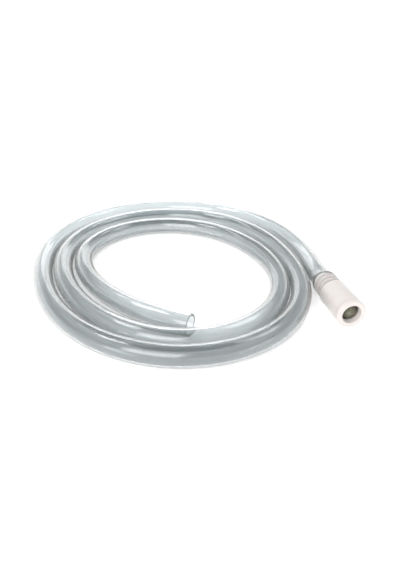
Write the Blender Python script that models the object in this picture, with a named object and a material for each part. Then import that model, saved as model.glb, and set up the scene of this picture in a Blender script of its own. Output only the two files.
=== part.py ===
"""Self-priming siphon: a clear flexible hose on a white foot valve with a glass check ball.

Run with:  blender --background --python part.py

Metres, +Z up. The valve lies on the ground with its inlet towards -Y. The origin is on the ground,
under the middle of the valve. The hose leaves the valve towards +Y and lies in a flat, loose spiral.
"""
from math import cos, pi, radians, sin

import bmesh
import bpy
import numpy as np
from mathutils import Matrix, Vector

# Driving dimensions
HOSE_RADIUS = 0.008
GAP = 0.0003
VALVE_LENGTH = 0.0478
SPIGOT_LENGTH = 0.016
NOSE_RADIUS = 0.0109
SHOULDER_RADIUS = 0.0108
MOUTH_RADIUS = 0.0071
LIP_RADIUS = 0.0065
BALL_RADIUS = 0.0072
BALL_REST_Y = -0.0149

# Stations along the valve's axis, from the inlet face to the spigot's tip
INLET_Y = -VALVE_LENGTH / 2
TIP_Y = VALVE_LENGTH / 2
SHOULDER_Y = TIP_Y - SPIGOT_LENGTH
SEAM_Y = INLET_Y + 0.004
LIP_Y = INLET_Y + 0.0032
SEAT_Y = INLET_Y + 0.0044
SOCKET_END_Y = INLET_Y + 0.0098
CHAMBER_END_Y = SHOULDER_Y - 0.0017
CUFF_END_Y = TIP_Y + 0.004

# Radii inside the valve
GUIDE_RADIUS = BALL_RADIUS + GAP + 0.00005
SOCKET_RADIUS = 0.0089
SPIGOT_BORE_RADIUS = 0.0054
SPIGOT_ROOT_RADIUS = 0.0076
BARB_RADIUS = 0.0089
TIP_RADIUS = 0.0072
BARB_COUNT = 3
BARB_PITCH = 0.0046
FIRST_BARB_Y = SHOULDER_Y + 0.0026

# Water channels beside the ball
FLUTE_COUNT = 6
FLUTE_RADIUS = 0.0017
FLUTE_CENTRE_RADIUS = 0.0079

# Cross that holds the ball off the spigot's bore
STOP_THICKNESS = 0.002
STOP_RIM_RADIUS = GUIDE_RADIUS - GAP
STOP_OPEN_RADIUS = 0.0057
STOP_ARM_WIDTH = 0.0016

# Stretched end of the hose over the barbs
CUFF_RADIUS = 0.01015
CUFF_BORE_RADIUS = BARB_RADIUS + GAP
CUFF_END_BORE_RADIUS = 0.0066

# Lie of the hose: out of the valve, then turns about one centre. Each row of radii is one turn, with
# a radius every 30 degrees anticlockwise from the first angle. The last point is the cut end.
HOSE_START_Y = CUFF_END_Y + 0.0004
HOSE_LIE_HEIGHT = 0.0081
SETTLE_LENGTH = 0.07
EXIT_POINTS = [(0.0, HOSE_START_Y), (0.0001, 0.036), (0.0010, 0.046), (0.0027, 0.058)]
COIL_CENTRE = (-0.1142, 0.0763)
COIL_START = radians(-2)
COIL_STEP = radians(30)
COIL_RADII = [
    (0.1185, 0.128, 0.142, 0.1495, 0.1465, 0.1265, 0.110, 0.1075, 0.115, 0.1235, 0.122, 0.1096),
    (0.1001, 0.104, 0.116, 0.1245, 0.121, 0.107, 0.093, 0.0895, 0.0965, 0.1065, 0.1045, 0.0927),
    (0.0830, 0.081, 0.087, 0.0945, 0.0965, 0.088, 0.0745, 0.068, 0.0715),
]
CUT_END = (-0.1133, -0.0136)
SAMPLES_PER_SPAN = 12

TURN_STEPS = 40
AXIS = Vector((0.0, 0.0, NOSE_RADIUS))


def clear_scene():
    for thing in list(bpy.data.objects):
        bpy.data.objects.remove(thing, do_unlink=True)


def finish(name, colour, roughness, alpha=1.0):
    material = bpy.data.materials.new(name)
    material.use_nodes = True
    shader = material.node_tree.nodes["Principled BSDF"]
    shader.inputs["Base Color"].default_value = (*colour, 1.0)
    shader.inputs["Roughness"].default_value = roughness
    shader.inputs["Metallic"].default_value = 0.0
    shader.inputs["Alpha"].default_value = alpha
    return material


def add_object(name, data, material):
    piece = bpy.data.objects.new(name, data)
    bpy.context.collection.objects.link(piece)
    data.materials.append(material)
    return piece


def finish_mesh(mesh_data, name):
    """Turn a bmesh into a smooth-shaded mesh with its faces pointing out."""
    bmesh.ops.recalc_face_normals(mesh_data, faces=mesh_data.faces)
    mesh = bpy.data.meshes.new(name)
    mesh_data.to_mesh(mesh)
    mesh_data.free()
    mesh.shade_smooth()
    mesh.set_sharp_from_angle(angle=radians(35))
    return mesh


def turned(name, outline, material):
    """Spin a closed outline of (y, radius) points about the valve's axis."""
    mesh_data = bmesh.new()
    corners = [mesh_data.verts.new((radius, y, 0.0)) for y, radius in outline]
    edges = [mesh_data.edges.new((corners[i - 1], corners[i])) for i in range(len(corners))]
    bmesh.ops.spin(mesh_data, geom=corners + edges, cent=(0, 0, 0), axis=(0, 1, 0),
                   angle=2 * pi, steps=TURN_STEPS, use_merge=True)
    piece = add_object(name, finish_mesh(mesh_data, name), material)
    piece.location = AXIS
    return piece


def arc(centre_y, centre_radius, size, first, last, steps):
    """Points on a rounded edge, with angles in degrees measured from +Y towards the outside."""
    angles = [radians(first + (last - first) * i / steps) for i in range(steps + 1)]
    return [(centre_y + size * cos(a), centre_radius + size * sin(a)) for a in angles]


def boolean(piece, cutter, operation):
    modifier = piece.modifiers.new(operation.lower(), "BOOLEAN")
    modifier.operation = operation
    modifier.solver = "EXACT"
    modifier.object = cutter
    cutter.hide_render = True
    cutter.display_type = "WIRE"


def rod_along_y(name, x, z, radius, y_start, y_end):
    """A plain round bar parallel to the valve's axis, as one mesh."""
    mesh_data = bmesh.new()
    bmesh.ops.create_cone(mesh_data, cap_ends=True, segments=16, radius1=radius, radius2=radius,
                          depth=y_end - y_start)
    bmesh.ops.rotate(mesh_data, verts=mesh_data.verts, cent=(0, 0, 0),
                     matrix=Matrix.Rotation(radians(-90), 3, "X"))
    bmesh.ops.translate(mesh_data, verts=mesh_data.verts, vec=(x, (y_start + y_end) / 2, z))
    mesh = bpy.data.meshes.new(name)
    mesh_data.to_mesh(mesh)
    mesh_data.free()
    return mesh


def make_nose_cap(material):
    """Pressed-in end cap: rounded nose, funnel-shaped mouth, ball seat and a plug into the barrel."""
    rounding = 0.0014
    plug_radius = SOCKET_RADIUS - GAP
    plug_end_y = SOCKET_END_Y - GAP
    outline = [
        (INLET_Y, MOUTH_RADIUS),
        (LIP_Y, LIP_RADIUS),
        (SEAT_Y, LIP_RADIUS),
        (SEAT_Y + 0.0009, GUIDE_RADIUS),
        (plug_end_y, GUIDE_RADIUS),
        (plug_end_y, plug_radius),
        (SEAM_Y, plug_radius),
        (SEAM_Y, NOSE_RADIUS - 0.0001),
    ]
    outline += arc(INLET_Y + rounding, NOSE_RADIUS - rounding, rounding, 90, 180, 4)
    return turned("nose_cap", outline, material)


def spigot_outline():
    """Barbs from the shoulder to the tip: a steep back and a long slope towards the tip."""
    outline = [(SHOULDER_Y, SPIGOT_ROOT_RADIUS)]
    for index in range(BARB_COUNT):
        crest_y = FIRST_BARB_Y + index * BARB_PITCH
        outline += [
            (crest_y, SPIGOT_ROOT_RADIUS),
            (crest_y, BARB_RADIUS),
            (crest_y + 0.0006, BARB_RADIUS),
        ]
    outline += [(TIP_Y - 0.0006, TIP_RADIUS + 0.0004), (TIP_Y, TIP_RADIUS)]
    return outline


def make_valve_body(material):
    """Barrel with the ball's chamber, moulded in one with the barbed spigot."""
    outline = [
        (SEAM_Y + GAP, SOCKET_RADIUS),
        (SOCKET_END_Y, SOCKET_RADIUS),
        (SOCKET_END_Y, GUIDE_RADIUS),
        (CHAMBER_END_Y, GUIDE_RADIUS),
        (CHAMBER_END_Y, SPIGOT_BORE_RADIUS),
        (TIP_Y, SPIGOT_BORE_RADIUS),
    ]
    outline += reversed(spigot_outline())
    outline += [
        (SHOULDER_Y, SHOULDER_RADIUS - 0.0006),
        (SHOULDER_Y - 0.0002, SHOULDER_RADIUS - 0.0002),
        (SHOULDER_Y - 0.0006, SHOULDER_RADIUS),
        (SEAM_Y + GAP, NOSE_RADIUS - 0.0001),
    ]
    body = turned("valve_body", outline, material)
    for index in range(FLUTE_COUNT):
        angle = 2 * pi * (index + 0.5) / FLUTE_COUNT
        mesh = rod_along_y("flute", FLUTE_CENTRE_RADIUS * cos(angle), FLUTE_CENTRE_RADIUS * sin(angle),
                           FLUTE_RADIUS, SOCKET_END_Y - 0.0005, CHAMBER_END_Y - STOP_THICKNESS - 2 * GAP)
        cutter = bpy.data.objects.new(f"flute_cutter_{index + 1}", mesh)
        bpy.context.collection.objects.link(cutter)
        cutter.location = AXIS
        boolean(body, cutter, "DIFFERENCE")
    return body


def make_ball_stop(material):
    """Ring with a moulded cross, pressed to the chamber's end."""
    near = CHAMBER_END_Y - GAP - STOP_THICKNESS
    far = CHAMBER_END_Y - GAP
    outline = [
        (near, STOP_OPEN_RADIUS),
        (far, STOP_OPEN_RADIUS),
        (far, STOP_RIM_RADIUS),
        (near, STOP_RIM_RADIUS),
    ]
    stop = turned("ball_stop", outline, material)
    arm_length = STOP_OPEN_RADIUS + STOP_RIM_RADIUS
    arm_depth = STOP_THICKNESS * 0.9
    for index, angle in enumerate((radians(45), radians(135))):
        mesh_data = bmesh.new()
        bmesh.ops.create_cube(mesh_data, size=1.0)
        bmesh.ops.scale(mesh_data, verts=mesh_data.verts, vec=(arm_length, arm_depth, STOP_ARM_WIDTH))
        bmesh.ops.rotate(mesh_data, verts=mesh_data.verts, cent=(0, 0, 0),
                         matrix=Matrix.Rotation(angle, 3, "Y"))
        mesh = bpy.data.meshes.new("stop_arm")
        mesh_data.to_mesh(mesh)
        mesh_data.free()
        arm = bpy.data.objects.new(f"stop_arm_{index + 1}", mesh)
        bpy.context.collection.objects.link(arm)
        arm.location = AXIS + Vector((0.0, (near + far) / 2, 0.0))
        boolean(stop, arm, "UNION")
    return stop


def make_check_ball(material):
    """Glass ball, with its origin at its centre on the valve's axis, where its travel is measured."""
    mesh_data = bmesh.new()
    bmesh.ops.create_uvsphere(mesh_data, u_segments=28, v_segments=14, radius=BALL_RADIUS)
    ball = add_object("check_ball", finish_mesh(mesh_data, "check_ball"), material)
    ball.location = AXIS + Vector((0.0, BALL_REST_Y, 0.0))
    return ball


def make_hose_cuff(material):
    """The end of the hose where it is stretched over the barbs, as one plain sleeve."""
    outline = [
        (SHOULDER_Y + GAP, CUFF_BORE_RADIUS),
        (TIP_Y, CUFF_BORE_RADIUS),
        (CUFF_END_Y, CUFF_END_BORE_RADIUS),
        (CUFF_END_Y, HOSE_RADIUS),
        (TIP_Y, CUFF_RADIUS - 0.0001),
        (TIP_Y - 0.001, CUFF_RADIUS),
        (SHOULDER_Y + GAP, CUFF_RADIUS),
    ]
    return turned("hose_cuff", outline, material)


def route_points():
    """Chosen points on the hose's centre line, as an array of x, y."""
    points = list(EXIT_POINTS)
    radii = [radius for turn in COIL_RADII for radius in turn]
    for index, radius in enumerate(radii):
        angle = COIL_START + index * COIL_STEP
        points.append((COIL_CENTRE[0] + radius * cos(angle), COIL_CENTRE[1] + radius * sin(angle)))
    points.append(CUT_END)
    return np.array(points)


def smooth_curve(points):
    """Natural cubic spline through the points, sampled evenly in each span."""
    steps = np.arange(SAMPLES_PER_SPAN) / SAMPLES_PER_SPAN
    spans = np.linalg.norm(np.diff(points, axis=0), axis=1)
    count = len(points)
    system = np.eye(count)
    right = np.zeros_like(points)
    for i in range(1, count - 1):
        system[i, i - 1:i + 2] = spans[i - 1], 2 * (spans[i - 1] + spans[i]), spans[i]
        slope_after = (points[i + 1] - points[i]) / spans[i]
        slope_before = (points[i] - points[i - 1]) / spans[i - 1]
        right[i] = 6 * (slope_after - slope_before)
    bend = np.linalg.solve(system, right)
    samples = []
    for i, span in enumerate(spans):
        slope = (points[i + 1] - points[i]) / span - span * (2 * bend[i] + bend[i + 1]) / 6
        cubic = (bend[i + 1] - bend[i]) / (6 * span)
        for t in span * steps:
            samples.append(points[i] + slope * t + bend[i] / 2 * t ** 2 + cubic * t ** 3)
    samples.append(points[-1])
    return np.array(samples)


def centre_line():
    """The hose's centre line in 3-D: it settles from the spigot's height to the ground."""
    flat = smooth_curve(route_points())
    travelled = np.concatenate(([0.0], np.cumsum(np.linalg.norm(np.diff(flat, axis=0), axis=1))))
    settled = np.clip(travelled / SETTLE_LENGTH, 0.0, 1.0)
    height = NOSE_RADIUS + (HOSE_LIE_HEIGHT - NOSE_RADIUS) * settled ** 2 * (3 - 2 * settled)
    return np.column_stack((flat, height))


def tube_points():
    """Two points for each span of the route, so that chords of neighbouring turns run side by side."""
    return centre_line()[::SAMPLES_PER_SPAN // 2]


def make_hose(material):
    """Free hose from the sleeve's end to its cut end, as one plain filled tube."""
    points = tube_points()
    curve = bpy.data.curves.new("hose", "CURVE")
    curve.dimensions = "3D"
    curve.bevel_depth = HOSE_RADIUS
    curve.bevel_resolution = 4
    curve.use_fill_caps = True
    spline = curve.splines.new("POLY")
    spline.points.add(len(points) - 1)
    for target, (x, y, z) in zip(spline.points, points):
        target.co = (x, y, z, 1.0)
    return add_object("hose", curve, material)


def main():
    clear_scene()
    white = finish("white_plastic", (0.83, 0.79, 0.76), 0.38)
    clear = finish("clear_pvc", (0.72, 0.79, 0.81), 0.12, alpha=0.4)
    glass = finish("olive_glass", (0.16, 0.15, 0.09), 0.08)
    make_nose_cap(white)
    make_valve_body(white)
    make_ball_stop(white)
    make_check_ball(glass)
    make_hose_cuff(clear)
    make_hose(clear)


main()
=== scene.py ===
"""Looks of the self-priming siphon: clear hose, white foot valve and glass check ball."""
from math import cos, pi, radians, sin

import bmesh
import bpy
import numpy as np
from mathutils import Matrix, Vector


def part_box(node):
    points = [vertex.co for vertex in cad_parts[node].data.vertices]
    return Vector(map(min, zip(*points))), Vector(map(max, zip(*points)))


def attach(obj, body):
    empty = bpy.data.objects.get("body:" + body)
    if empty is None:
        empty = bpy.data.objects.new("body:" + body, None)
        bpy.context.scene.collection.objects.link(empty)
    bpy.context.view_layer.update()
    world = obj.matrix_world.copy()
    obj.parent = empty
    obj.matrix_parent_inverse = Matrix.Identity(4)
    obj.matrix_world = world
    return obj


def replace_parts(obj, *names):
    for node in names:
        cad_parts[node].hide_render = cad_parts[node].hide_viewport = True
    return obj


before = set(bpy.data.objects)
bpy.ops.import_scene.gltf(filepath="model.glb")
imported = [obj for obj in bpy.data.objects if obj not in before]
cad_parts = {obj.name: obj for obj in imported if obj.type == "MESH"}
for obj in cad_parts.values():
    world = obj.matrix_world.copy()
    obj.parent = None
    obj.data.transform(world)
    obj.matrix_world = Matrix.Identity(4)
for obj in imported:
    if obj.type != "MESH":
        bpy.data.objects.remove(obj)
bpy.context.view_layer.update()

# Stations and radii of the valve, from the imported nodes
CAP_LOW, CAP_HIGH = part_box("nose_cap")
BALL_LOW, BALL_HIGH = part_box("check_ball")
CUFF_LOW, CUFF_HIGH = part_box("hose_cuff")
STOP_LOW, STOP_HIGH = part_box("ball_stop")
AXIS_HEIGHT = (CAP_LOW[2] + CAP_HIGH[2]) / 2
INLET_Y = CAP_LOW[1]
TIP_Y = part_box("valve_body")[1][1]
NOSE_RADIUS = (CAP_HIGH[0] - CAP_LOW[0]) / 2
BALL_RADIUS = (BALL_HIGH[1] - BALL_LOW[1]) / 2
BALL_Y = (BALL_HIGH[1] + BALL_LOW[1]) / 2

# The valve's design, as in the solids
FIT_GAP = 0.0003
SPIGOT_LENGTH = 0.016
SHOULDER_Y = TIP_Y - SPIGOT_LENGTH
SHOULDER_RADIUS = 0.0108
SEAM_Y = INLET_Y + 0.004
SEAM_GAP = 0.0002
SEAM_RADIUS = NOSE_RADIUS - 0.0001
LIP_Y = INLET_Y + 0.0032
LIP_RADIUS = 0.0065
MOUTH_RADIUS = 0.0071
SEAT_Y = INLET_Y + 0.0044
SEAT_LENGTH = 0.0009
SOCKET_END_Y = CAP_HIGH[1]
SOCKET_RADIUS = 0.0089
CHAMBER_END_Y = SHOULDER_Y - 0.0017
GUIDE_RADIUS = 0.00755
SPIGOT_BORE_RADIUS = 0.0054
TIP_RADIUS = 0.0072
TIP_TAPER_LENGTH = 0.0004
STOP_NEAR_Y, STOP_FAR_Y = STOP_LOW[1], STOP_HIGH[1]
STOP_RADIUS = (STOP_HIGH[0] - STOP_LOW[0]) / 2
STOP_OPEN_RADIUS = 0.0057
STOP_ARM_WIDTH = 0.0016
STOP_ARM_DEPTH = (STOP_FAR_Y - STOP_NEAR_Y) * 0.9
STOP_ARM_ROUNDING = 0.0002
STOP_ARM_TURNS = (45, 135)

# The hose and the lie of its centre line, as in the solids
HOSE_RADIUS = 0.008
HOSE_BORE_RADIUS = 0.00635
HOSE_START_Y = CUFF_HIGH[1] + 0.0004
HOSE_LIE_HEIGHT = 0.0081
SETTLE_LENGTH = 0.07
EXIT_POINTS = [(0.0, HOSE_START_Y), (0.0001, 0.036), (0.0010, 0.046), (0.0027, 0.058)]
COIL_CENTRE = (-0.1142, 0.0763)
COIL_START = radians(-2)
COIL_STEP = radians(30)
COIL_RADII = [
    (0.1185, 0.128, 0.142, 0.1495, 0.1465, 0.1265, 0.110, 0.1075, 0.115, 0.1235, 0.122, 0.1096),
    (0.1001, 0.104, 0.116, 0.1245, 0.121, 0.107, 0.093, 0.0895, 0.0965, 0.1065, 0.1045, 0.0927),
    (0.0830, 0.081, 0.087, 0.0945, 0.0965, 0.088, 0.0745, 0.068, 0.0715),
]
CUT_END = (-0.1133, -0.0136)

# The clear wall over the barbs magnifies them until they fill it, so the barbs are drawn that large
# and the wall that thin. The barbs' places are distances from the shoulder.
FIRST_BARB = 0.0030
BARB_PITCH = 0.0048
SEEN_BARBS = [FIRST_BARB + i * BARB_PITCH for i in range(3)]
SEEN_CREST = 0.00975
SEEN_ROOT = 0.0083
CREST_LENGTH = 0.0006
CREST_RISE = 0.0001
BRIDGE_LENGTH = 0.0005
CLINGING_LENGTH = 0.0158
CUFF_RADIUS = (CUFF_HIGH[0] - CUFF_LOW[0]) / 2
CREST_BORE_RADIUS = SEEN_CREST + 0.00007
VALLEY_RADIUS = 0.0092
VALLEY_BORE_RADIUS = 0.0088

# Past the spigot's tip the wall narrows to the plain hose: distance from the tip, outer and inner radius
PAST_TIP = [
    (0.0, 0.00975, 0.00905),
    (0.0018, 0.00935, 0.0083),
    (0.0045, 0.00845, 0.0069),
    (0.008, HOSE_RADIUS, HOSE_BORE_RADIUS),
]

# Mesh detail
TURN_STEPS = 96
FILLET_STEPS = 4
HOSE_SIDES = 40
SAMPLES_PER_SPAN = 12
HELD_STEP = 0.00025
HELD_END_Y = HOSE_START_Y - 0.0002
SHARP_ANGLE = radians(50)

# Pairs of colours that a noise texture runs between
PVC_COLOURS = ((0.66, 0.69, 0.697), (0.745, 0.772, 0.779))
FILM_COLOURS = ((0.62, 0.60, 0.61), (0.74, 0.72, 0.73))
PLASTIC_COLOURS = ((0.61, 0.567, 0.54), (0.65, 0.61, 0.585))
GLASS_COLOURS = ((0.07, 0.065, 0.03), (0.26, 0.25, 0.16))

# Painted shade on the clear hose's rims: darker and less clear by how far its surface turns from the eye
RIM_START = 0.55
RIM_END = 0.86
RIM_CLEARNESS = 0.25
RIM_PAINTED_SHADE = (0.32, 0.305, 0.28, 1.0)

# Camera, looking down on the siphon from in front of its free end
SENSOR_WIDTH = 36.0
LENS = 28.06
CAMERA_PLACE = (-0.1475, -0.2643, 0.1826)
CAMERA_PITCH = 29.5
CAMERA_AZIMUTH = -9.3

# Studio
STUDIO_CENTRE = (-0.11, 0.08, 0.0)
LEFT_POWER = 1.8
RIGHT_POWER = 1.6
REAR_POWER = 0.5
FILL_POWER = 10.5
BACKDROP_POWER = 9.0
WORLD_COLOUR = (0.97, 0.985, 1.0, 1.0)
WORLD_STRENGTH = 0.60
FLOOR_GLOW = 0.42
FLOOR_ALBEDO = 0.9
FLOOR_STEP = 0.1
SWEEP_START = 1.4
SWEEP_RADIUS = 0.3
SWEEP_TOP = 0.6


# ---------------------------------------------------------------- camera, floor and light

def make_camera():
    data = bpy.data.cameras.new("camera")
    data.sensor_width = SENSOR_WIDTH
    data.lens = LENS
    camera = bpy.data.objects.new("camera", data)
    bpy.context.collection.objects.link(camera)
    camera.location = CAMERA_PLACE
    camera.rotation_euler = (radians(90 - CAMERA_PITCH), 0.0, radians(CAMERA_AZIMUTH))
    bpy.context.scene.camera = camera


def area_light(name, location, target, size, energy):
    data = bpy.data.lights.new(name, "AREA")
    data.shape = "RECTANGLE"
    data.size, data.size_y = size
    data.energy = energy
    light = bpy.data.objects.new(name, data)
    bpy.context.collection.objects.link(light)
    light.location = location
    aim = Vector(target) - Vector(location)
    light.rotation_euler = aim.to_track_quat("-Z", "Y").to_euler()


def make_studio():
    """Small softboxes for the streaks on the hose, a broad fill in front and an even pale world."""
    area_light("left_softbox", (-0.55, 0.33, 0.90), STUDIO_CENTRE, (0.34, 0.22), LEFT_POWER)
    area_light("right_softbox", (0.38, 0.26, 0.88), STUDIO_CENTRE, (0.50, 0.34), RIGHT_POWER)
    area_light("front_fill", (-0.75, -0.85, 0.80), STUDIO_CENTRE, (1.0, 0.8), FILL_POWER)
    area_light("rear_softbox", (-0.12, 1.00, 0.42), STUDIO_CENTRE, (0.60, 0.12), REAR_POWER)
    area_light("backdrop_light", (-0.10, 1.00, 1.10), (-0.10, 1.75, 0.10), (1.2, 0.5), BACKDROP_POWER)
    world = bpy.data.worlds.new("studio")
    world.use_nodes = True
    background = world.node_tree.nodes["Background"]
    background.inputs["Color"].default_value = WORLD_COLOUR
    background.inputs["Strength"].default_value = WORLD_STRENGTH
    bpy.context.scene.world = world
    bpy.context.scene.view_settings.view_transform = "Standard"


def floor_profile():
    """The floor's rings as (radius, height): flat, then a bend, then upright."""
    bend = [radians(angle) for angle in range(0, 91, 6)]
    flat_rings = round(SWEEP_START / FLOOR_STEP) - 1
    profile = [(FLOOR_STEP * (i + 1), 0.0) for i in range(flat_rings)]
    profile += [(SWEEP_START + SWEEP_RADIUS * sin(a), SWEEP_RADIUS * (1 - cos(a))) for a in bend]
    profile.append((SWEEP_START + SWEEP_RADIUS, SWEEP_TOP))
    return profile


def make_floor():
    """A pale round sheet that lies flat under the siphon and sweeps up far away all round it."""
    mesh_data = bmesh.new()
    middle = mesh_data.verts.new((*COIL_CENTRE, 0.0))
    turn = np.linspace(0.0, 2 * pi, TURN_STEPS, endpoint=False)
    rings = []
    for radius, z in floor_profile():
        around = [(COIL_CENTRE[0] + radius * cos(a), COIL_CENTRE[1] + radius * sin(a), z) for a in turn]
        rings.append([mesh_data.verts.new(point) for point in around])
    for j in range(TURN_STEPS):
        k = (j + 1) % TURN_STEPS
        mesh_data.faces.new((middle, rings[0][j], rings[0][k]))
        for inner, outer in zip(rings, rings[1:]):
            mesh_data.faces.new((inner[j], outer[j], outer[k], inner[k]))
    mesh = bpy.data.meshes.new("floor")
    mesh_data.to_mesh(mesh)
    mesh_data.free()
    mesh.shade_smooth()
    floor = bpy.data.objects.new("floor", mesh)
    bpy.context.collection.objects.link(floor)
    mesh.materials.append(floor_paper())


# ---------------------------------------------------------------- materials

def new_material(name):
    """A new material, with its nodes, its links and its shader."""
    material = bpy.data.materials.new(name)
    material.use_nodes = True
    nodes, links = material.node_tree.nodes, material.node_tree.links
    return material, nodes, links, nodes["Principled BSDF"]


def noise(nodes, links, vector, scale, detail, roughness=0.5):
    node = nodes.new("ShaderNodeTexNoise")
    node.inputs["Scale"].default_value = scale
    node.inputs["Detail"].default_value = detail
    node.inputs["Roughness"].default_value = roughness
    links.new(vector, node.inputs["Vector"])
    return node.outputs["Fac"]


def ramp(nodes, links, value, colours):
    """Map a noise value, which mostly lies between 0.3 and 0.7, onto a pair of colours."""
    node = nodes.new("ShaderNodeValToRGB")
    for element, position, colour in zip(node.color_ramp.elements, (0.3, 0.7), colours):
        element.position = position
        element.color = (*colour, 1.0)
    links.new(value, node.inputs["Fac"])
    return node.outputs["Color"]


def between(nodes, links, value, low, high, start=0.0, end=1.0):
    """Map a value, by default from 0 to 1, onto two numbers."""
    node = nodes.new("ShaderNodeMapRange")
    node.inputs["From Min"].default_value = start
    node.inputs["From Max"].default_value = end
    node.inputs["To Min"].default_value = low
    node.inputs["To Max"].default_value = high
    links.new(value, node.inputs["Value"])
    return node.outputs["Result"]


def mixed(nodes, links, factor, colour, other):
    """Blend a colour with a constant one. A Mix node's colour sockets are told apart by number."""
    node = nodes.new("ShaderNodeMix")
    node.data_type = "RGBA"
    links.new(factor, node.inputs[0])
    links.new(colour, node.inputs[6])
    node.inputs[7].default_value = other
    return node.outputs[2]


def bump(nodes, links, shader, height, distance, strength):
    node = nodes.new("ShaderNodeBump")
    node.inputs["Distance"].default_value = distance
    node.inputs["Strength"].default_value = strength
    links.new(height, node.inputs["Height"])
    links.new(node.outputs["Normal"], shader.inputs["Normal"])


def object_coordinates(nodes):
    return nodes.new("ShaderNodeTexCoord").outputs["Object"]


def floor_paper():
    """Matt white paper with a faint glow, so that the ground reads as white."""
    material, nodes, links, shader = new_material("floor_paper")
    shader.inputs["Base Color"].default_value = (FLOOR_ALBEDO, FLOOR_ALBEDO, FLOOR_ALBEDO, 1.0)
    shader.inputs["Roughness"].default_value = 0.9
    shader.inputs["Emission Color"].default_value = (1.0, 1.0, 1.0, 1.0)
    shader.inputs["Emission Strength"].default_value = FLOOR_GLOW
    return material


def clear_pvc():
    """Clear flexible PVC: a cool tint, faint extrusion lines, and painted beige-grey shade along its
    rims, where the surface turns from the eye.
    """
    material, nodes, links, shader = new_material("clear_pvc")
    shader.inputs["IOR"].default_value = 1.5
    uv = nodes.new("ShaderNodeUVMap")
    uv.uv_map = "along_hose"
    stretch = nodes.new("ShaderNodeMapping")
    stretch.inputs["Scale"].default_value = (26.0, 5.0, 1.0)
    links.new(uv.outputs["UV"], stretch.inputs["Vector"])
    lines = noise(nodes, links, stretch.outputs["Vector"], scale=1.0, detail=4.0, roughness=0.6)
    tint = ramp(nodes, links, lines, PVC_COLOURS)
    rim = nodes.new("ShaderNodeLayerWeight")
    rim.inputs["Blend"].default_value = 0.5
    # painted shade: where the surface turns from the eye, the tint is mixed toward a dark beige and the
    # wall made less clear
    painted_rim_shade = between(nodes, links, rim.outputs["Facing"], 0.0, 1.0, RIM_START, RIM_END)
    links.new(mixed(nodes, links, painted_rim_shade, tint, RIM_PAINTED_SHADE), shader.inputs["Base Color"])
    links.new(between(nodes, links, painted_rim_shade, 1.0, RIM_CLEARNESS), shader.inputs["Transmission Weight"])
    links.new(between(nodes, links, lines, 0.05, 0.11), shader.inputs["Roughness"])
    bump(nodes, links, shader, lines, distance=0.0004, strength=0.25)
    return material


def clinging_pvc():
    """The hose's wall where it is stretched thin over the barbs: a faint gloss with no depth."""
    material, nodes, links, shader = new_material("clinging_pvc")
    film = noise(nodes, links, object_coordinates(nodes), scale=300.0, detail=3.0)
    links.new(ramp(nodes, links, film, FILM_COLOURS), shader.inputs["Base Color"])
    links.new(between(nodes, links, film, 0.16, 0.30), shader.inputs["Roughness"])
    shader.inputs["Alpha"].default_value = 0.16
    bump(nodes, links, shader, film, distance=0.00005, strength=0.3)
    return material


def white_plastic():
    """Warm white moulded plastic with a soft satin skin."""
    material, nodes, links, shader = new_material("white_plastic")
    place = object_coordinates(nodes)
    cloud = noise(nodes, links, place, scale=120.0, detail=3.0)
    grain = noise(nodes, links, place, scale=2600.0, detail=2.0)
    links.new(ramp(nodes, links, cloud, PLASTIC_COLOURS), shader.inputs["Base Color"])
    links.new(between(nodes, links, grain, 0.32, 0.46), shader.inputs["Roughness"])
    shader.inputs["Subsurface Weight"].default_value = 0.15
    shader.inputs["Subsurface Radius"].default_value = (0.002, 0.0014, 0.001)
    bump(nodes, links, shader, grain, distance=0.00003, strength=0.3)
    return material


def olive_glass():
    """Dark olive glass marble with darker swirls inside."""
    material, nodes, links, shader = new_material("olive_glass")
    swirl = noise(nodes, links, object_coordinates(nodes), scale=190.0, detail=4.0, roughness=0.6)
    links.new(ramp(nodes, links, swirl, GLASS_COLOURS), shader.inputs["Base Color"])
    shader.inputs["Transmission Weight"].default_value = 0.4
    shader.inputs["Roughness"].default_value = 0.06
    shader.inputs["IOR"].default_value = 1.52
    return material


# ---------------------------------------------------------------- shapes

def add_piece(name, mesh, material, body):
    """Put a mesh in the scene as one piece, with its material and the body it rides on."""
    piece = bpy.data.objects.new(name, mesh)
    bpy.context.collection.objects.link(piece)
    mesh.materials.append(material)
    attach(piece, body)
    return piece


def fillet(corner, before, after, size):
    """Round one corner of an outline of (y, radius) points, between its two neighbours."""
    corner = Vector(corner)
    start = corner + (Vector(before) - corner).normalized() * size
    end = corner + (Vector(after) - corner).normalized() * size
    points = []
    for i in range(FILLET_STEPS + 1):
        t = i / FILLET_STEPS
        points.append(start * (1 - t) ** 2 + corner * 2 * t * (1 - t) + end * t ** 2)
    return [tuple(point) for point in points]


def rounded(outline):
    """An outline of (y, radius, rounding) corners as plain points, with each corner rounded."""
    points = []
    for i, (y, radius, size) in enumerate(outline):
        before = outline[i - 1][:2]
        after = outline[(i + 1) % len(outline)][:2]
        points += fillet((y, radius), before, after, size) if size else [(y, radius)]
    return points


def turned(name, outline):
    """Spin a closed outline of (y, radius) points about the valve's axis."""
    mesh_data = bmesh.new()
    corners = [mesh_data.verts.new((radius, y, 0.0)) for y, radius in outline]
    edges = [mesh_data.edges.new((corners[i - 1], corners[i])) for i in range(len(corners))]
    bmesh.ops.spin(mesh_data, geom=corners + edges, cent=(0, 0, 0), axis=(0, 1, 0),
                   angle=2 * pi, steps=TURN_STEPS, use_merge=True)
    bmesh.ops.recalc_face_normals(mesh_data, faces=mesh_data.faces)
    bmesh.ops.translate(mesh_data, verts=mesh_data.verts, vec=(0.0, 0.0, AXIS_HEIGHT))
    mesh = bpy.data.meshes.new(name)
    mesh_data.to_mesh(mesh)
    mesh_data.free()
    mesh.shade_smooth()
    mesh.set_sharp_from_angle(angle=SHARP_ANGLE)
    return mesh


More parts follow.
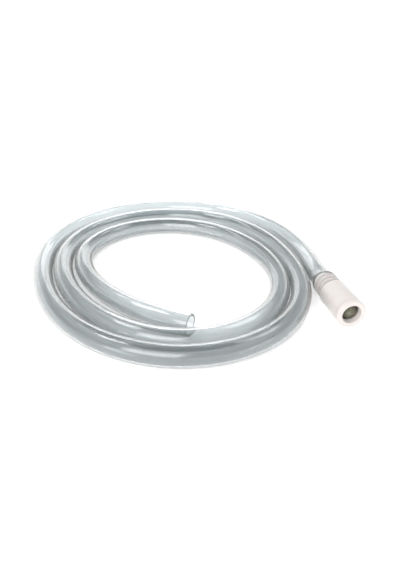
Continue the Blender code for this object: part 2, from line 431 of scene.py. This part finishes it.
def make_nose_cap(material):
    """Rounded nose with a funnel-shaped mouth, the ball's seat and a plug into the barrel."""
    plug_radius = SOCKET_RADIUS - FIT_GAP
    outline = rounded([
        (INLET_Y, MOUTH_RADIUS, 0.0003),
        (LIP_Y, LIP_RADIUS, 0.0003),
        (SEAT_Y, LIP_RADIUS, 0.0002),
        (SEAT_Y + SEAT_LENGTH, GUIDE_RADIUS, 0.0002),
        (SOCKET_END_Y, GUIDE_RADIUS, 0.0002),
        (SOCKET_END_Y, plug_radius, 0.0002),
        (SEAM_Y, plug_radius, 0.0),
        (SEAM_Y, SEAM_RADIUS, 0.00025),
        (INLET_Y, NOSE_RADIUS, 0.0016),
    ])
    piece = add_piece("nose_cap_moulding", turned("nose_cap_moulding", outline), material,
                      "siphon")
    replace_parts(piece, "nose_cap")


def spigot_outline():
    """Barbs from the shoulder to the tip, as (y, radius, rounding) corners."""
    corners = [(SHOULDER_Y, SEEN_ROOT, 0.0004)]
    for distance in SEEN_BARBS:
        crest_y = SHOULDER_Y + distance
        corners += [
            (crest_y - CREST_RISE, SEEN_ROOT, 0.0002),
            (crest_y, SEEN_CREST, 0.00012),
            (crest_y + CREST_LENGTH, SEEN_CREST, 0.0003),
        ]
    corners += [(TIP_Y - TIP_TAPER_LENGTH, SEEN_ROOT, 0.0003), (TIP_Y, TIP_RADIUS, 0.0003)]
    return corners


def make_valve_body(material):
    """Barrel with the ball's chamber, moulded in one with the barbed spigot."""
    seam = SEAM_Y + SEAM_GAP
    corners = [
        (seam, SOCKET_RADIUS, 0.0),
        (SOCKET_END_Y + FIT_GAP, SOCKET_RADIUS, 0.0),
        (SOCKET_END_Y + FIT_GAP, GUIDE_RADIUS, 0.0002),
        (CHAMBER_END_Y, GUIDE_RADIUS, 0.0),
        (CHAMBER_END_Y, SPIGOT_BORE_RADIUS, 0.0004),
        (TIP_Y, SPIGOT_BORE_RADIUS, 0.0002),
    ]
    corners += reversed(spigot_outline())
    corners += [
        (SHOULDER_Y, SHOULDER_RADIUS, 0.0006),
        (seam, SEAM_RADIUS, 0.00025),
    ]
    piece = add_piece("valve_body_moulding", turned("valve_body_moulding", rounded(corners)), material,
                      "siphon")
    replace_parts(piece, "valve_body")


def make_ball_stop(material):
    """Ring with two crossed arms that keeps the ball off the spigot's bore."""
    ring = rounded([
        (STOP_NEAR_Y, STOP_OPEN_RADIUS, 0.0003),
        (STOP_FAR_Y, STOP_OPEN_RADIUS, 0.0003),
        (STOP_FAR_Y, STOP_RADIUS, 0.0003),
        (STOP_NEAR_Y, STOP_RADIUS, 0.0003),
    ])
    mesh = turned("ball_stop_moulding", ring)
    mesh_data = bmesh.new()
    mesh_data.from_mesh(mesh)
    middle = Vector((0.0, (STOP_NEAR_Y + STOP_FAR_Y) / 2, AXIS_HEIGHT))
    size = (STOP_OPEN_RADIUS + STOP_RADIUS, STOP_ARM_DEPTH, STOP_ARM_WIDTH)
    for degrees in STOP_ARM_TURNS:
        corners = bmesh.ops.create_cube(mesh_data, size=1.0)["verts"]
        bmesh.ops.scale(mesh_data, verts=corners, vec=size)
        edges = list({edge for corner in corners for edge in corner.link_edges})
        bevelled = bmesh.ops.bevel(mesh_data, geom=corners + edges, offset=STOP_ARM_ROUNDING,
                                   segments=2, affect="EDGES", profile=0.5)["verts"]
        turn = Matrix.Rotation(radians(degrees), 3, "Y")
        bmesh.ops.rotate(mesh_data, verts=bevelled, cent=(0, 0, 0), matrix=turn)
        bmesh.ops.translate(mesh_data, verts=bevelled, vec=middle)
    mesh_data.to_mesh(mesh)
    mesh_data.free()
    piece = add_piece("ball_stop_moulding", mesh, material, "siphon")
    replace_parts(piece, "ball_stop")


def make_ball(material):
    """Glass marble, on the ball's own body."""
    mesh_data = bmesh.new()
    bmesh.ops.create_icosphere(mesh_data, subdivisions=5, radius=BALL_RADIUS)
    bmesh.ops.translate(mesh_data, verts=mesh_data.verts, vec=(0.0, BALL_Y, AXIS_HEIGHT))
    mesh = bpy.data.meshes.new("glass_marble")
    mesh_data.to_mesh(mesh)
    mesh_data.free()
    mesh.shade_smooth()
    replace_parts(add_piece("glass_marble", mesh, material, "ball"), "check_ball")


# ---------------------------------------------------------------- hose

def route_points():
    """Chosen points on the hose's centre line, as an array of x, y."""
    points = list(EXIT_POINTS)
    radii = [radius for turn in COIL_RADII for radius in turn]
    for index, radius in enumerate(radii):
        angle = COIL_START + index * COIL_STEP
        points.append((COIL_CENTRE[0] + radius * cos(angle), COIL_CENTRE[1] + radius * sin(angle)))
    points.append(CUT_END)
    return np.array(points)


def smooth_curve(points):
    """Natural cubic spline through the points, sampled evenly in each span."""
    steps = np.arange(SAMPLES_PER_SPAN) / SAMPLES_PER_SPAN
    spans = np.linalg.norm(np.diff(points, axis=0), axis=1)
    count = len(points)
    system = np.eye(count)
    right = np.zeros_like(points)
    for i in range(1, count - 1):
        system[i, i - 1:i + 2] = spans[i - 1], 2 * (spans[i - 1] + spans[i]), spans[i]
        slope_after = (points[i + 1] - points[i]) / spans[i]
        slope_before = (points[i] - points[i - 1]) / spans[i - 1]
        right[i] = 6 * (slope_after - slope_before)
    bend = np.linalg.solve(system, right)
    samples = []
    for i, span in enumerate(spans):
        slope = (points[i + 1] - points[i]) / span - span * (2 * bend[i] + bend[i + 1]) / 6
        cubic = (bend[i + 1] - bend[i]) / (6 * span)
        for t in span * steps:
            samples.append(points[i] + slope * t + bend[i] / 2 * t ** 2 + cubic * t ** 3)
    samples.append(points[-1])
    return np.array(samples)


def travelled_along(line):
    """Distance along a line of points from the first one to each."""
    return np.concatenate(([0.0], np.cumsum(np.linalg.norm(np.diff(line, axis=0), axis=1))))


def hose_line():
    """Ring centres from the valve's shoulder to the cut end, and each one's distance along the hose."""
    flat = smooth_curve(route_points())
    settled = np.clip(travelled_along(flat) / SETTLE_LENGTH, 0.0, 1.0)
    height = AXIS_HEIGHT + (HOSE_LIE_HEIGHT - AXIS_HEIGHT) * settled ** 2 * (3 - 2 * settled)
    free = np.column_stack((flat, height))
    over_spigot = np.arange(CUFF_LOW[1], HELD_END_Y, HELD_STEP)
    held = np.column_stack((np.zeros_like(over_spigot), over_spigot,
                            np.full_like(over_spigot, AXIS_HEIGHT)))
    line = np.vstack((held, free))
    return line, travelled_along(line)


def ring_frames(line):
    """Sideways and upward unit vectors for each ring."""
    tangents = np.gradient(line, axis=0)
    tangents /= np.linalg.norm(tangents, axis=1)[:, None]
    sides = np.cross(tangents, (0.0, 0.0, 1.0))
    sides /= np.linalg.norm(sides, axis=1)[:, None]
    return sides, np.cross(sides, tangents)


def add_face(mesh_data, uv_layer, corners, spots):
    """Add a face and give each of its corners a spot on the UV map."""
    face = mesh_data.faces.new(corners)
    for loop, spot in zip(face.loops, spots):
        loop[uv_layer].uv = spot
    return face


def add_wall(mesh_data, uv_layer, rings, along):
    """Skin a row of rings. The UV map runs round the hose in U and along it, in metres, in V.

    The first stretch, over the barbs, takes the clinging film's material.
    """
    for i in range(len(rings) - 1):
        for j in range(HOSE_SIDES):
            k = (j + 1) % HOSE_SIDES
            here, there = j / HOSE_SIDES, (j + 1) / HOSE_SIDES
            corners = [rings[i][j], rings[i][k], rings[i + 1][k], rings[i + 1][j]]
            spots = [(here, along[i]), (there, along[i]), (there, along[i + 1]), (here, along[i + 1])]
            face = add_face(mesh_data, uv_layer, corners, spots)
            face.material_index = int(along[i] < CLINGING_LENGTH)


def add_cut_face(mesh_data, uv_layer, outer, inner, distance):
    """Close the wall between the outer and inner rings at one end of the hose."""
    for j in range(HOSE_SIDES):
        k = (j + 1) % HOSE_SIDES
        corners = [outer[j], outer[k], inner[k], inner[j]]
        add_face(mesh_data, uv_layer, corners, [(j / HOSE_SIDES, distance)] * 4)


def stretched_end():
    """Outer and inner radii of the hose's end, by distance from the shoulder: (distance, outer, inner).

    It is tight on each barb's crest, bridges the step behind each crest, and tapers past the tip.
    """
    profile = [(0.0, VALLEY_RADIUS, VALLEY_BORE_RADIUS)]
    for crest in SEEN_BARBS:
        profile += [
            (crest - BRIDGE_LENGTH, VALLEY_RADIUS, VALLEY_BORE_RADIUS),
            (crest, CUFF_RADIUS, CREST_BORE_RADIUS),
            (crest + CREST_LENGTH, CUFF_RADIUS, CREST_BORE_RADIUS),
        ]
    profile += [(SPIGOT_LENGTH + distance, outer, inner) for distance, outer, inner in PAST_TIP]
    return profile


def hose_mesh(line, along):
    """A hollow tube: an outer wall, an inner wall and a cut face at each end."""
    from_shoulder = along + CUFF_LOW[1] - SHOULDER_Y
    distances, outside, inside = zip(*stretched_end())
    outside = np.interp(from_shoulder, distances, outside)
    inside = np.interp(from_shoulder, distances, inside)
    turn = np.linspace(0.0, 2 * pi, HOSE_SIDES, endpoint=False)
    mesh_data = bmesh.new()
    uv_layer = mesh_data.loops.layers.uv.new("along_hose")
    outer, inner = [], []
    for centre, side, up, large, small in zip(line, *ring_frames(line), outside, inside):
        around = [cos(a) * side + sin(a) * up for a in turn]
        outer.append([mesh_data.verts.new(centre + large * way) for way in around])
        inner.append([mesh_data.verts.new(centre + small * way) for way in around])
    add_wall(mesh_data, uv_layer, outer, along)
    add_wall(mesh_data, uv_layer, inner, along)
    for i in (0, -1):
        add_cut_face(mesh_data, uv_layer, outer[i], inner[i], along[i])
    bmesh.ops.recalc_face_normals(mesh_data, faces=mesh_data.faces)
    mesh = bpy.data.meshes.new("clear_hose")
    mesh_data.to_mesh(mesh)
    mesh_data.free()
    mesh.shade_smooth()
    mesh.set_sharp_from_angle(angle=SHARP_ANGLE)
    return mesh


def make_hose(material, clinging_material):
    line, along = hose_line()
    hose = add_piece("clear_hose", hose_mesh(line, along), material, "siphon")
    hose.data.materials.append(clinging_material)
    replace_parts(hose, "hose", "hose_cuff")


def main():
    make_camera()
    make_hose(clear_pvc(), clinging_pvc())
    white = white_plastic()
    make_nose_cap(white)
    make_valve_body(white)
    make_ball_stop(white)
    make_ball(olive_glass())
    make_floor()
    make_studio()


main()
